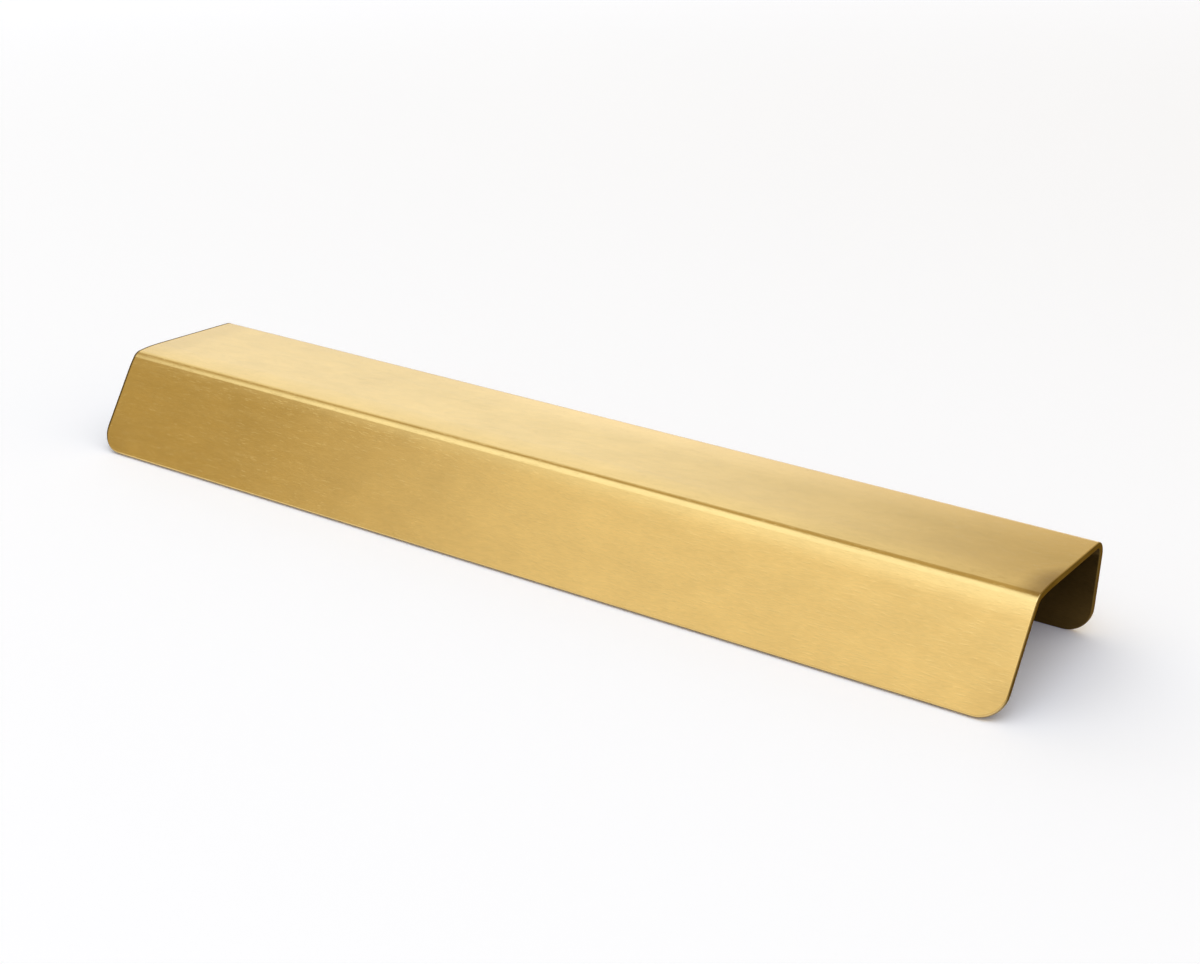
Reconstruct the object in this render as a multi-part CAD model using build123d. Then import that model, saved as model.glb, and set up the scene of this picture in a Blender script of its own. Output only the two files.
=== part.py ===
from build123d import *
from math import cos, radians, sin, tan
import os

# A profile handle for a drawer or door front, folded from one strip of brass sheet. The back
# flange is screwed behind the front, the top lies over the front's upper edge, and the lip
# hangs down ahead of it at a slant, for the fingers.
# The origin is midway between the two screw holes, on the back flange's inner face.
# +X runs along the handle, -Y is towards the lip and +Z is up.
# Lengths are in millimetres and angles in degrees.

# Strip
LENGTH = 200.0
SHEET_THICKNESS = 1.2
CORNER_RADIUS = 5.0  # at the ends of each flange's free edge, cut in the flat strip
EDGE_RADIUS = 0.3  # on every outer edge, eased before folding

# Section, over the outside, up to where the flats beside a bend would meet
TOP_DEPTH = 30.6
BACK_FLANGE_HEIGHT = 18.2
LIP_WIDTH = 21.8  # along the slant
LIP_SLANT = 30.0  # outward from plumb
BACK_FOLD_INNER_RADIUS = 2.0
FRONT_FOLD_INNER_RADIUS = 1.4

# Crowns, the gentle curves in which the sheet runs into the front fold and out of it
TOP_CROWN_DEPTH = 5.0
TOP_CROWN_ANGLE = 8.0
LIP_CROWN_WIDTH = 3.2
LIP_CROWN_ANGLE = 6.5

# Screw holes in the back flange, countersunk from behind
HOLE_DIAMETER = 4.2
COUNTERSINK_DIAMETER = 5.6
COUNTERSINK_ANGLE = 90.0
HOLE_TO_END = 20.0
HOLE_TO_FREE_EDGE = 7.5

# Bends of the sheet's outer face, each tangent to the stretches beside it
back_fold_radius = BACK_FOLD_INNER_RADIUS + SHEET_THICKNESS
back_fold_angle = 90.0
front_bend_angle = back_fold_angle - LIP_SLANT
top_crown_radius = TOP_CROWN_DEPTH / sin(radians(TOP_CROWN_ANGLE))
front_fold_radius = FRONT_FOLD_INNER_RADIUS + SHEET_THICKNESS
front_fold_angle = front_bend_angle - TOP_CROWN_ANGLE - LIP_CROWN_ANGLE
lip_crown_radius = LIP_CROWN_WIDTH / sin(radians(LIP_CROWN_ANGLE))
front_bend = [
    (top_crown_radius, TOP_CROWN_ANGLE),
    (front_fold_radius, front_fold_angle),
    (lip_crown_radius, LIP_CROWN_ANGLE),
]


def reach(arcs):
    """How far a run of tangent arcs goes ahead, along its first direction, and how far aside."""
    ahead = aside = heading = 0
    for radius, turn in arcs:
        start, end = radians(heading), radians(heading + turn)
        ahead += radius * (sin(end) - sin(start))
        aside += radius * (cos(start) - cos(end))
        heading += turn
    return ahead, aside


# Flat stretches between the bends, each as far from its meeting line as its bend needs
front_bend_ahead, front_bend_aside = reach(front_bend)
top_setback = front_bend_ahead - front_bend_aside / tan(radians(front_bend_angle))
lip_setback = front_bend_aside / sin(radians(front_bend_angle))
back_flange_flat = BACK_FLANGE_HEIGHT - back_fold_radius
top_flat = TOP_DEPTH - back_fold_radius - top_setback
lip_flat = LIP_WIDTH - lip_setback

largest_edge_radius = 0.45 * SHEET_THICKNESS
length_tolerance = 0.001


def folded_section():
    """The sheet's section across the handle, from the back flange's free edge to the lip's."""
    back_free_edge = (SHEET_THICKNESS, -HOLE_TO_FREE_EDGE)
    with BuildSketch(Plane.YZ) as section:
        with BuildLine():
            flange = PolarLine(back_free_edge, back_flange_flat, angle=90)
            back_fold = JernArc(flange @ 1, flange % 1, back_fold_radius, back_fold_angle)
            stretch = PolarLine(back_fold @ 1, top_flat, direction=back_fold % 1)
            for radius, turn in front_bend:
                stretch = JernArc(stretch @ 1, stretch % 1, radius, turn)
            PolarLine(stretch @ 1, lip_flat, direction=stretch % 1)
            offset(amount=SHEET_THICKNESS, side=Side.LEFT)
        make_face()
    return section.sketch


def runs_through_sheet(edge):
    """True for a straight edge that crosses the sheet from its outer face to its inner one."""
    return edge.geom_type == GeomType.LINE and abs(edge.length - SHEET_THICKNESS) < length_tolerance


def rounded_corners(sheet):
    """The sheet with the four corners of its flanges rounded."""
    return fillet(sheet.edges().filter_by(runs_through_sheet), CORNER_RADIUS)


def eased_edges(sheet):
    """The sheet with its rim eased on both sides, round the folds and corners too."""
    rim_faces = [face for face in sheet.faces() if face.edges().filter_by(runs_through_sheet)]
    rim_edges = [edge for face in rim_faces for edge in face.edges() if not runs_through_sheet(edge)]
    return fillet(rim_edges, min(EDGE_RADIUS, largest_edge_radius))


def screw_holes():
    """The cutters for the two holes, seen from behind the back flange."""
    half_spacing = LENGTH / 2 - HOLE_TO_END
    back_face = Plane(origin=(0, SHEET_THICKNESS, 0), x_dir=(1, 0, 0), z_dir=(0, 1, 0))
    hole = CounterSinkHole(
        HOLE_DIAMETER / 2,
        COUNTERSINK_DIAMETER / 2,
        depth=2 * SHEET_THICKNESS,
        counter_sink_angle=COUNTERSINK_ANGLE,
        mode=Mode.PRIVATE,
    )
    return [back_face * Pos(X=side * half_spacing) * hole for side in (-1, 1)]


def profile_handle():
    """The whole handle, one solid."""
    sheet = extrude(folded_section(), amount=LENGTH / 2, both=True)
    return eased_edges(rounded_corners(sheet)) - screw_holes()


os.makedirs("parts", exist_ok=True)
export_step(profile_handle(), "parts/profile_handle.step")
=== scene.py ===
from math import atan, pi, radians

import bpy
from mathutils import Matrix, Vector


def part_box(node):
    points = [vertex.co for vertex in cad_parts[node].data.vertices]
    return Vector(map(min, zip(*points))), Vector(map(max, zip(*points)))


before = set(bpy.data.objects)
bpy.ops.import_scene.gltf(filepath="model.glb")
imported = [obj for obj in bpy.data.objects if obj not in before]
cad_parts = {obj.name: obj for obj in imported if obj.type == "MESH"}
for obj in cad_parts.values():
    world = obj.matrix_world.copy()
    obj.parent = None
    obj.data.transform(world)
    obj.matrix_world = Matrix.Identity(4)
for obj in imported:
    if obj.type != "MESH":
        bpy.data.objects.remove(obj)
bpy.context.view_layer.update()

# Places and lengths are in metres, in the handle's own frame: +X along it, -Y towards the lip, +Z up.
low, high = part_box("profile_handle")

# Camera, as the photograph's outline of the handle gives it
IMAGE_WIDTH_PX = 1200
SENSOR_WIDTH_MM = 36.0
FOCAL_LENGTH_PX = 1941.2
CAMERA_AZIMUTH = radians(32.09)
CAMERA_ELEVATION = radians(20.37)
CAMERA_ROLL = radians(2.90)
CAMERA_DISTANCE = 0.3694
CAMERA_TARGET = Vector((0.0069, -0.0138, 0.0025))
CAMERA_SEES_FROM, CAMERA_SEES_TO = 0.01, 50.0


def add_camera():
    """The camera at the photograph's place and angle."""
    data = bpy.data.cameras.new("photo_camera")
    data.sensor_width = SENSOR_WIDTH_MM
    data.lens = FOCAL_LENGTH_PX / IMAGE_WIDTH_PX * SENSOR_WIDTH_MM
    data.clip_start = CAMERA_SEES_FROM
    data.clip_end = CAMERA_SEES_TO
    camera = bpy.data.objects.new("photo_camera", data)
    turn = Matrix.Rotation(CAMERA_AZIMUTH, 4, "Z")
    tip = Matrix.Rotation(radians(90.0) - CAMERA_ELEVATION, 4, "X")
    roll = Matrix.Rotation(CAMERA_ROLL, 4, "Z")
    back_off = Matrix.Translation((0.0, 0.0, CAMERA_DISTANCE))
    camera.matrix_world = Matrix.Translation(CAMERA_TARGET) @ turn @ tip @ roll @ back_off
    bpy.context.scene.collection.objects.link(camera)
    bpy.context.scene.camera = camera


def node(tree, kind, **sockets):
    """A new shader node, with its inputs set by name."""
    made = tree.nodes.new(kind)
    for name, value in sockets.items():
        made.inputs[name.replace("_", " ")].default_value = value
    return made


def maths(tree, operation, *inputs):
    """The result of a Math node. Each input is a number or another node's output."""
    made = tree.nodes.new("ShaderNodeMath")
    made.operation = operation
    for socket, value in zip(made.inputs, inputs):
        if isinstance(value, bpy.types.NodeSocket):
            tree.links.new(value, socket)
        else:
            socket.default_value = value
    return made.outputs["Value"]


def ramp(tree, value, start, end, low_result=0.0, high_result=1.0):
    """The value carried smoothly from one range to another, and held at its ends."""
    results = {"To_Min": low_result, "To_Max": high_result}
    made = node(tree, "ShaderNodeMapRange", From_Min=start, From_Max=end, **results)
    made.interpolation_type = "SMOOTHSTEP"
    tree.links.new(value, made.inputs["Value"])
    return made.outputs["Result"]


def new_material(name):
    """An empty node material, and its tree and output."""
    material = bpy.data.materials.new(name)
    material.use_nodes = True
    tree = material.node_tree
    tree.nodes.clear()
    return material, tree, tree.nodes.new("ShaderNodeOutputMaterial")


# Brushed brass. The outer faces are brushed along the handle, with a painted highlight along the top's
# back
# # edge and painted shade on the top by the right end. The inner ones are duller and painted dark as
# shade, and the
# # rim and the hole walls, which were cut and eased, are painted dark: partly a duller cut edge, partly
# painted shade.

# Colours, each with how much darker and lighter the grain makes it
BRASS = (0.78, 0.565, 0.227), 0.13
# Painted highlight: lighter brass along the top's back edge
PAINTED_HIGHLIGHT = (0.94, 0.69, 0.31), 0.10
# Darker brass near the ends, and painted shade on the top by the right end
DARKER_ENDS_AND_SHADE = (0.42, 0.28, 0.10), 0.25
# The inner faces: partly a duller, darker finish, mostly painted shade inside the fold
INNER = (0.125, 0.077, 0.022), 0.45
# The eased edges, the cut and the hole walls: partly a duller cut edge, partly painted shade
EASED = (0.135, 0.085, 0.020), 0.40
CUT = (0.170, 0.106, 0.028), 0.40

# How the faces and the rim tint what they mirror at a glancing angle: the rim's dark tint paints shade
# along the outline
FACE_GLANCE = (1.0, 1.0, 1.0, 1.0)
RIM_GLANCE = (0.40, 0.31, 0.16, 1.0)

BRUSHED_ROUGHNESS = 0.18
ROUGHNESS_SPREAD = 0.02
INNER_ROUGHNESS = 0.34
RIM_ROUGHNESS = 0.45
ANISOTROPY = 0.5

# Grain, each a size along the handle and across it in millimetres. The first four also say how
# much they lighten and darken the brass, and the ranges are the shares of noise that count.
STREAKS = (1.3, 0.15, 0.80)
SMEARS = (3.6, 1.1, 0.28)
CLOUDS = (9.0, 6.5, 0.60)
TONING = (40.0, 22.0, 0.55)
SHEEN = (9.0, 1.4)
SHEEN_RANGE = 0.3, 0.7
SCRATCHES = (2.2, 0.26)
SCRATCH_RANGE = 0.61, 0.72
SCRATCH_DEPTH = 0.007e-3
WAVINESS = (22.0, 6.0)
WAVINESS_DEPTH = 0.035e-3
NOISE_ROUGHNESS = 0.55
TONE_DETAIL, BUMP_DETAIL = 2.0, 1.0
TOP_BRUSHING = 0.75  # as a share of the lip's
TOP_BRUSHING_TO_Y, LIP_BRUSHING_FROM_Y = -0.028, -0.031

# Where the rim and the inner faces are
CORNER_RADIUS = 0.005
RIM_SHADE_FROM = 0.50e-3  # this far in from the sheet's outline the dark of the rim starts
RIM_SHADE_FULL = 0.22e-3
LESS_AT_FREE_EDGES = 0.36e-3  # along the free edges the dark is narrower by this
MORE_AT_LEFT_END = 0.22e-3  # it is wider by this at the left end, and narrower at the right one
DOWN_LIP = (0.0, -0.5, -0.866)
DOWN_BACK = (0.0, 0.0, -1.0)
LIP_AHEAD_OF = -0.020
CUT_FROM, CUT_FULL = 0.90, 0.99  # how squarely the flat of the cut faces out of the sheet's outline
MIDDLE_OF_SECTION = (0.0, -0.015, -0.002)
INNER_BLUR = 0.0005
HOLE_X = 0.080
HOLE_REACH = 0.003
HOLE_FACES_BACK_BELOW = 0.9  # the hole walls and countersinks face less squarely backwards

# Where the painted highlight, the painted shade and the darker ends are
TOP_FROM_Z, TOP_FULL_Z = 0.0085, 0.0103
LOW_FROM_Z, LOW_FULL_Z = 0.001, -0.006
DARKENING_FROM, DARKENING_FULL = 0.009, 0.0035  # in from each end
DARKENING_STRENGTH = 0.20
PAINTED_SHADE_FROM_Y, PAINTED_SHADE_FULL_Y = -0.0125, -0.0225
PAINTED_SHADE_LEAST = 0.01  # the painted shade's share and width towards the back, beside those near the fold
PAINTED_SHADE_WIDTH = 0.0055
PAINTED_SHADE_OVER_Y, PAINTED_SHADE_HOLDS_TO_Y = -0.030, -0.0285
HIGHLIGHT_FROM_Y, HIGHLIGHT_FULL_Y = -0.0125, -0.001
HIGHLIGHT_FROM_X, HIGHLIGHT_FULL_X = -0.05, 0.01


def vector_maths(tree, operation, first, second, output="Vector"):
    """The result of a Vector Math node on another node's output and a vector or output."""
    made = tree.nodes.new("ShaderNodeVectorMath")
    made.operation = operation
    for socket, value in zip(made.inputs, (first, second)):
        if isinstance(value, bpy.types.NodeSocket):
            tree.links.new(value, socket)
        else:
            socket.default_value = value
    return made.outputs[output]


def length(tree, vector):
    """The length of another node's vector."""
    return vector_maths(tree, "LENGTH", vector, (0.0, 0.0, 0.0), "Value")


def grain(tree, place, along, across, detail):
    """Noise stretched along the handle, from 0 to 1."""
    sizes = (along, across, across)
    stretched = vector_maths(tree, "MULTIPLY", place, [1000.0 / size for size in sizes])
    noise = node(tree, "ShaderNodeTexNoise", Scale=1.0, Detail=detail, Roughness=NOISE_ROUGHNESS)
    tree.links.new(stretched, noise.inputs["Vector"])
    return noise.outputs["Fac"]


def blend(tree, share, first, second):
    """A colour between two, each a colour or another node's output."""
    mix = tree.nodes.new("ShaderNodeMix")
    mix.data_type = "RGBA"
    tree.links.new(share, mix.inputs["Factor"])
    for socket, value in ((mix.inputs[6], first), (mix.inputs[7], second)):
        if isinstance(value, bpy.types.NodeSocket):
            tree.links.new(value, socket)
        else:
            socket.default_value = value
    return mix.outputs[2]


def toned(tree, tone, colour, spread):
    """A colour that the tone, from 0 to 1, makes darker and lighter by the spread."""
    darker = [part * (1.0 - spread) for part in colour] + [1.0]
    lighter = [part * (1.0 + spread) for part in colour] + [1.0]
    return blend(tree, tone, darker, lighter)


def flange_points():
    """The points of the mesh that are on the lip, and those on the back flange."""
    points = [vertex.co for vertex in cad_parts["profile_handle"].data.vertices]
    return [p for p in points if p.y < LIP_AHEAD_OF], [p for p in points if p.y > LIP_AHEAD_OF]


def flange_reach(points, direction):
    """How far a flange's free edge lies along its own downward direction."""
    return max(point.dot(Vector(direction)) for point in points)


def rim_shares(tree, place, parts, facing):
    """Two masks: 1 on the rim and the holes' walls and 0 on the faces, from the distance to the
    sheet's rounded outline, and 1 on the flat of the cut and 0 on its eased edges."""
    along = maths(tree, "ABSOLUTE", maths(tree, "SUBTRACT", parts.outputs["X"], MORE_AT_LEFT_END))
    past_end_corner = maths(tree, "SUBTRACT", along, high.x - CORNER_RADIUS)
    on_lip = maths(tree, "LESS_THAN", parts.outputs["Y"], LIP_AHEAD_OF)
    on_back = maths(tree, "SUBTRACT", 1.0, on_lip)
    lip_points, back_points = flange_points()
    lip_reach = flange_reach(lip_points, DOWN_LIP) + LESS_AT_FREE_EDGES
    back_reach = flange_reach(back_points, DOWN_BACK) + LESS_AT_FREE_EDGES
    down_lip = vector_maths(tree, "DOT_PRODUCT", place, DOWN_LIP, "Value")
    down_back = vector_maths(tree, "DOT_PRODUCT", place, DOWN_BACK, "Value")
    past_lip_corner = maths(tree, "SUBTRACT", down_lip, lip_reach - CORNER_RADIUS)
    past_back_corner = maths(tree, "SUBTRACT", down_back, back_reach - CORNER_RADIUS)
    past_edge_corner = maths(
        tree, "ADD", maths(tree, "MULTIPLY", on_lip, past_lip_corner),
        maths(tree, "MULTIPLY", on_back, past_back_corner),
    )
    corner = tree.nodes.new("ShaderNodeCombineXYZ")
    tree.links.new(maths(tree, "MAXIMUM", past_end_corner, 0.0), corner.inputs["X"])
    tree.links.new(maths(tree, "MAXIMUM", past_edge_corner, 0.0), corner.inputs["Y"])
    from_corner_middle = length(tree, corner.outputs["Vector"])
    shade_from, shade_full = CORNER_RADIUS - RIM_SHADE_FROM, CORNER_RADIUS - RIM_SHADE_FULL
    share = ramp(tree, from_corner_middle, shade_from, shade_full)

    facing_parts = tree.nodes.new("ShaderNodeSeparateXYZ")
    tree.links.new(facing, facing_parts.inputs["Vector"])
    near_edge = maths(tree, "GREATER_THAN", past_edge_corner, 0.0)
    facing_down_lip = vector_maths(tree, "DOT_PRODUCT", facing, DOWN_LIP, "Value")
    facing_down_back = vector_maths(tree, "DOT_PRODUCT", facing, DOWN_BACK, "Value")
    facing_down = maths(
        tree, "ADD", maths(tree, "MULTIPLY", on_lip, facing_down_lip),
        maths(tree, "MULTIPLY", on_back, facing_down_back),
    )
    in_sheet = tree.nodes.new("ShaderNodeCombineXYZ")
    tree.links.new(facing_parts.outputs["X"], in_sheet.inputs["X"])
    tree.links.new(maths(tree, "MULTIPLY", near_edge, facing_down), in_sheet.inputs["Y"])
    cut = ramp(tree, length(tree, in_sheet.outputs["Vector"]), CUT_FROM, CUT_FULL)

    from_hole = tree.nodes.new("ShaderNodeCombineXYZ")
    from_hole_x = maths(tree, "SUBTRACT", maths(tree, "ABSOLUTE", parts.outputs["X"]), HOLE_X)
    tree.links.new(from_hole_x, from_hole.inputs["X"])
    tree.links.new(parts.outputs["Z"], from_hole.inputs["Z"])
    near_hole = maths(tree, "LESS_THAN", length(tree, from_hole.outputs["Vector"]), HOLE_REACH)
    squarely = maths(tree, "ABSOLUTE", facing_parts.outputs["Y"])
    is_wall = maths(tree, "LESS_THAN", squarely, HOLE_FACES_BACK_BELOW)
    hole = maths(tree, "MULTIPLY", maths(tree, "MULTIPLY", near_hole, is_wall), on_back)
    return maths(tree, "MAXIMUM", share, hole), cut


def inner_share(tree, place, facing):
    """1 on the faces that look into the fold, and 0 on the outer ones."""
    inward = vector_maths(tree, "SUBTRACT", MIDDLE_OF_SECTION, place)
    in_section = vector_maths(tree, "MULTIPLY", inward, (0.0, 1.0, 1.0))
    towards_middle = vector_maths(tree, "DOT_PRODUCT", in_section, facing, "Value")
    return ramp(tree, towards_middle, -INNER_BLUR, INNER_BLUR)


def darker_ends_and_shade_share(tree, parts, on_top):
    """The share of darkening: slight at the top's left end and the flanges' lower corners, and most in
    painted shade on the top at the right end, which widens towards the front fold."""
    from_ends = maths(tree, "SUBTRACT", high.x, maths(tree, "ABSOLUTE", parts.outputs["X"]))
    near_ends = ramp(tree, from_ends, DARKENING_FROM, DARKENING_FULL, 0.0, DARKENING_STRENGTH)
    low_down = ramp(tree, parts.outputs["Z"], LOW_FROM_Z, LOW_FULL_Z)
    at_left = maths(tree, "LESS_THAN", parts.outputs["X"], 0.0)
    reached = maths(tree, "MULTIPLY_ADD", on_top, at_left, low_down)
    ends = maths(tree, "MULTIPLY", near_ends, reached)
    from_right_end = maths(tree, "SUBTRACT", high.x, parts.outputs["X"])
    towards_fold = ramp(tree, parts.outputs["Y"], PAINTED_SHADE_FROM_Y, PAINTED_SHADE_FULL_Y, PAINTED_SHADE_LEAST, 1.0)
    in_from_right = maths(tree, "DIVIDE", from_right_end, towards_fold)
    near_right_end = ramp(tree, in_from_right, PAINTED_SHADE_WIDTH, 0.0)
    before_lip = ramp(tree, parts.outputs["Y"], PAINTED_SHADE_OVER_Y, PAINTED_SHADE_HOLDS_TO_Y)
    painted_shade = maths(tree, "MULTIPLY", near_right_end, towards_fold)
    painted_shade = maths(tree, "MULTIPLY", painted_shade, before_lip)
    return maths(tree, "MAXIMUM", ends, painted_shade)


def painted_highlight_share(tree, parts, on_top):
    """1 along the top's back edge, from the middle to the right end, where a painted highlight lightens
    it.
    """
    by_back_edge = ramp(tree, parts.outputs["Y"], HIGHLIGHT_FROM_Y, HIGHLIGHT_FULL_Y)
    from_middle = ramp(tree, parts.outputs["X"], HIGHLIGHT_FROM_X, HIGHLIGHT_FULL_X)
    return maths(tree, "MULTIPLY", maths(tree, "MULTIPLY", by_back_edge, from_middle), on_top)


def brushed_brass():
    """Satin brass, brushed along the handle."""
    material, tree, output = new_material("brushed_brass_sheet")
    link = tree.links.new
    coordinates = tree.nodes.new("ShaderNodeTexCoord")
    place, facing = coordinates.outputs["Object"], coordinates.outputs["Normal"]

    parts = tree.nodes.new("ShaderNodeSeparateXYZ")
    link(place, parts.inputs["Vector"])

    def grains(settings, start):
        total = start
        for along, across, strength in settings:
            centred = maths(tree, "SUBTRACT", grain(tree, place, along, across, TONE_DETAIL), 0.5)
            total = maths(tree, "MULTIPLY_ADD", centred, strength, total)
        return total

    brushed = ramp(
        tree, parts.outputs["Y"], TOP_BRUSHING_TO_Y, LIP_BRUSHING_FROM_Y, TOP_BRUSHING, 1.0
    )
    brushing = maths(tree, "MULTIPLY", grains((STREAKS, SMEARS), 0.0), brushed)
    tone = maths(tree, "ADD", brushing, grains((CLOUDS, TONING), 0.5))
    on_top = ramp(tree, parts.outputs["Z"], TOP_FROM_Z, TOP_FULL_Z)
    outer = toned(tree, tone, *BRASS)
    # A painted highlight lightens the top along its back edge, from the middle to the right end.
    outer = blend(tree, painted_highlight_share(tree, parts, on_top), outer, toned(tree, tone, *PAINTED_HIGHLIGHT))
    # Painted shade darkens the top by the right end, widest towards the front fold; the ends are also
    # darker at the top's left end and low on the flanges.
    outer = blend(tree, darker_ends_and_shade_share(tree, parts, on_top), outer, toned(tree, tone, *DARKER_ENDS_AND_SHADE))
    inner = inner_share(tree, place, facing)
    # The inner faces are painted dark: partly a duller finish, mostly painted shade inside the fold.
    faces = blend(tree, inner, outer, toned(tree, tone, *INNER))
    rim, cut = rim_shares(tree, place, parts, facing)
    # The rim and the hole walls are painted dark: partly a duller cut edge, partly painted shade.
    edges = blend(tree, cut, toned(tree, tone, *EASED), toned(tree, tone, *CUT))
    colour = blend(tree, rim, faces, edges)

    sheen = ramp(
        tree, grain(tree, place, *SHEEN, TONE_DETAIL), *SHEEN_RANGE,
        BRUSHED_ROUGHNESS - ROUGHNESS_SPREAD, BRUSHED_ROUGHNESS + ROUGHNESS_SPREAD,
    )
    roughness = maths(tree, "MULTIPLY_ADD", inner, INNER_ROUGHNESS - BRUSHED_ROUGHNESS, sheen)
    dullness = ramp(tree, rim, 0.0, 1.0)
    roughness = maths(
        tree, "ADD", maths(tree, "MULTIPLY", roughness, maths(tree, "SUBTRACT", 1.0, dullness)),
        maths(tree, "MULTIPLY", dullness, RIM_ROUGHNESS),
    )

    waves = node(tree, "ShaderNodeBump", Strength=1.0, Distance=WAVINESS_DEPTH)
    link(grain(tree, place, *WAVINESS, BUMP_DETAIL), waves.inputs["Height"])
    scratches = node(tree, "ShaderNodeBump", Strength=1.0, Distance=SCRATCH_DEPTH)
    raised = ramp(tree, grain(tree, place, *SCRATCHES, BUMP_DETAIL), *SCRATCH_RANGE)
    link(raised, scratches.inputs["Height"])
    link(waves.outputs["Normal"], scratches.inputs["Normal"])

    shader = node(tree, "ShaderNodeBsdfPrincipled", Metallic=1.0, Anisotropic=ANISOTROPY)
    across = tree.nodes.new("ShaderNodeTangent")
    across.direction_type = "RADIAL"
    across.axis = "X"
    link(colour, shader.inputs["Base Color"])
    # Painted shade: the rim's dark glancing tint darkens what it mirrors along the outline.
    link(blend(tree, rim, FACE_GLANCE, RIM_GLANCE), shader.inputs["Specular Tint"])
    link(roughness, shader.inputs["Roughness"])
    link(scratches.outputs["Normal"], shader.inputs["Normal"])
    link(across.outputs["Tangent"], shader.inputs["Tangent"])
    link(shader.outputs["BSDF"], output.inputs["Surface"])
    return material


# Floor
FLOOR_COLOUR = (0.96, 0.968, 0.985, 1.0)
FLOOR_SIZE = 12.0
SLOPE_ROUNDS = 3  # the line that touches both free edges from below settles within these
FLOOR_WHITENING = (0.048, 0.055, 0.092, 1.0)  # added where the floor is seen, directly or mirrored
FAR_GLOW = (0.41, 0.50, 0.69, 1.0)
GLOW_FROM = 0.12
GLOW_FULL_AT = 2.4


def add_floor():
    """A plain pale floor, which the handle's two free edges rest on. Further off, where the lamps
    don't reach, it glows as a lit backdrop does, so that it stays pale up to the horizon."""
    lip_points, back_points = flange_points()
    slope = 0.0
    for _ in range(SLOPE_ROUNDS):
        lip_foot = min(lip_points, key=lambda point: point.z - slope * point.y)
        back_foot = min(back_points, key=lambda point: point.z - slope * point.y)
        slope = (back_foot.z - lip_foot.z) / (back_foot.y - lip_foot.y)
    bpy.ops.mesh.primitive_plane_add(size=FLOOR_SIZE)
    floor = bpy.context.object
    floor.name = "floor"
    foot = Matrix.Translation((0.0, lip_foot.y, lip_foot.z))
    floor.matrix_world = foot @ Matrix.Rotation(atan(slope), 4, "X")
    material, tree, output = new_material("pale_floor")
    shader = node(tree, "ShaderNodeBsdfDiffuse", Color=FLOOR_COLOUR)
    coordinates = tree.nodes.new("ShaderNodeTexCoord")
    distance = length(tree, coordinates.outputs["Object"])
    glow = node(tree, "ShaderNodeEmission", Color=FAR_GLOW)
    tree.links.new(ramp(tree, distance, GLOW_FROM, GLOW_FULL_AT), glow.inputs["Strength"])
    light_path = tree.nodes.new("ShaderNodeLightPath")
    seen = light_path.outputs["Is Camera Ray"]
    for kind in ("Is Glossy Ray", "Is Transmission Ray"):
        seen = maths(tree, "MAXIMUM", seen, light_path.outputs[kind])
    whitening = node(tree, "ShaderNodeEmission", Color=FLOOR_WHITENING)
    tree.links.new(seen, whitening.inputs["Strength"])
    surface = shader.outputs["BSDF"]
    for emission in (glow, whitening):
        both = tree.nodes.new("ShaderNodeAddShader")
        tree.links.new(surface, both.inputs[0])
        tree.links.new(emission.outputs["Emission"], both.inputs[1])
        surface = both.outputs["Shader"]
    tree.links.new(surface, output.inputs["Surface"])
    floor.data.materials.append(material)


# Light
AIM = Vector((0.0, -0.015, 0.0))
SURROUND_COLOUR = (0.555, 0.45, 0.24, 1.0)
HORIZON_COLOUR = (0.93, 0.93, 0.93, 1.0)
HORIZON_FROM, HORIZON_TO = 0.07, 0.24  # sines of the elevations where it starts to fade and is gone
# Lamps: azimuth as the camera's, elevation, roll, distance, width, height, shares of half the width
# and half the height over which it fades, and red, green and blue radiance
SOFTBOXES = {
    "behind": (233.0, 27.3, -5.0, 1.5, 2.60, 1.38, (0.72, 0.64), (0.60, 0.715, 0.90)),
    "overhead": (-24.0, 63.0, 0.0, 1.3, 2.40, 1.45, (0.52, 0.60), (0.79, 0.98, 1.28)),
    "front": (-7.0, 31.0, 0.0, 1.5, 2.24, 0.86, (0.46, 0.35), (0.45, 0.48, 0.55)),
    "right": (84.0, 72.0, 0.0, 1.3, 1.95, 1.40, (0.40, 0.30), (0.66, 0.79, 1.10)),
}


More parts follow.
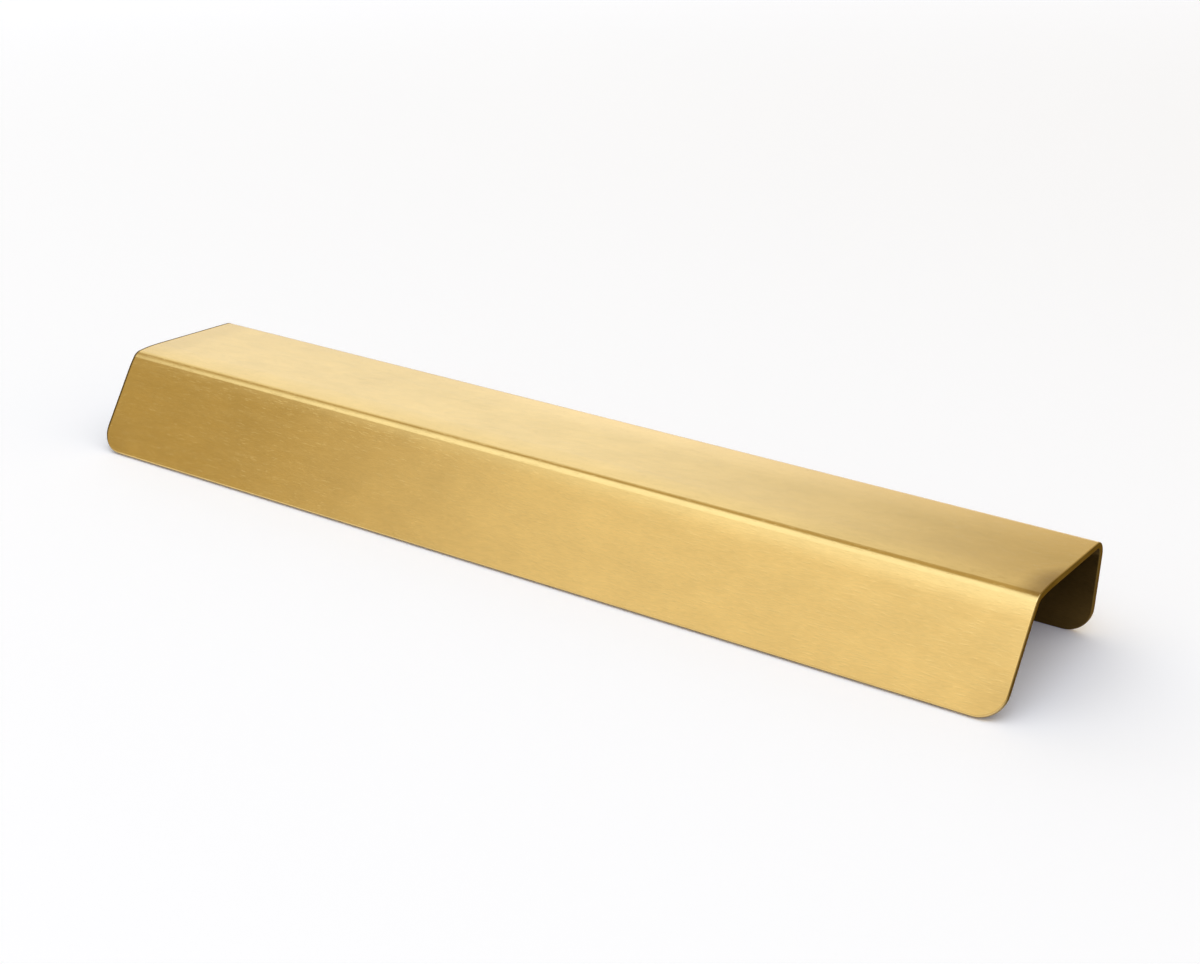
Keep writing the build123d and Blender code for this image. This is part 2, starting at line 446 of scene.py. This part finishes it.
def add_softbox(name, azimuth, elevation, roll, distance, width, height, feathers, radiance):
    """A rectangular lamp that faces the handle and fades softly towards its edges."""
    strongest = max(radiance)
    data = bpy.data.lights.new(name, "AREA")
    data.shape = "RECTANGLE"
    data.size = width
    data.size_y = height
    data.energy = strongest * pi * width * height
    data.color = [part / strongest for part in radiance]
    data.use_nodes = True
    tree = data.node_tree
    tree.nodes.clear()
    place = tree.nodes.new("ShaderNodeNewGeometry")
    parts = tree.nodes.new("ShaderNodeSeparateXYZ")
    tree.links.new(place.outputs["Parametric"], parts.inputs["Vector"])
    fades = []
    for axis, feather in zip("XY", feathers):
        from_middle = maths(tree, "ABSOLUTE", maths(tree, "MULTIPLY_ADD", parts.outputs[axis], 2.0, -1.0))
        fades.append(ramp(tree, from_middle, 1.0 - feather, 1.0, 1.0, 0.0))
    emission = tree.nodes.new("ShaderNodeEmission")
    output = tree.nodes.new("ShaderNodeOutputLight")
    tree.links.new(maths(tree, "MULTIPLY", *fades), emission.inputs["Strength"])
    tree.links.new(emission.outputs["Emission"], output.inputs["Surface"])
    lamp = bpy.data.objects.new(name, data)
    turn = Matrix.Rotation(radians(azimuth), 4, "Z")
    tip = Matrix.Rotation(radians(90.0 - elevation), 4, "X")
    lean = Matrix.Rotation(radians(roll), 4, "Z")
    back_off = Matrix.Translation((0.0, 0.0, distance))
    lamp.matrix_world = Matrix.Translation(AIM) @ turn @ tip @ lean @ back_off
    lamp.visible_camera = False
    bpy.context.scene.collection.objects.link(lamp)


def add_light():
    """Soft studio light from large lamps, and an even surround that is paler at the horizon."""
    world = bpy.data.worlds.new("studio")
    world.use_nodes = True
    tree = world.node_tree
    coordinates = tree.nodes.new("ShaderNodeTexCoord")
    parts = tree.nodes.new("ShaderNodeSeparateXYZ")
    tree.links.new(coordinates.outputs["Generated"], parts.inputs["Vector"])
    height = ramp(tree, parts.outputs["Z"], HORIZON_FROM, HORIZON_TO)
    surround = blend(tree, height, HORIZON_COLOUR, SURROUND_COLOUR)
    tree.links.new(surround, tree.nodes["Background"].inputs["Color"])
    bpy.context.scene.world = world
    for name, settings in SOFTBOXES.items():
        add_softbox(name, *settings)


add_camera()
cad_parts["profile_handle"].material_slots[0].material = brushed_brass()
add_floor()
add_light()
bpy.context.scene.view_settings.view_transform = "Standard"
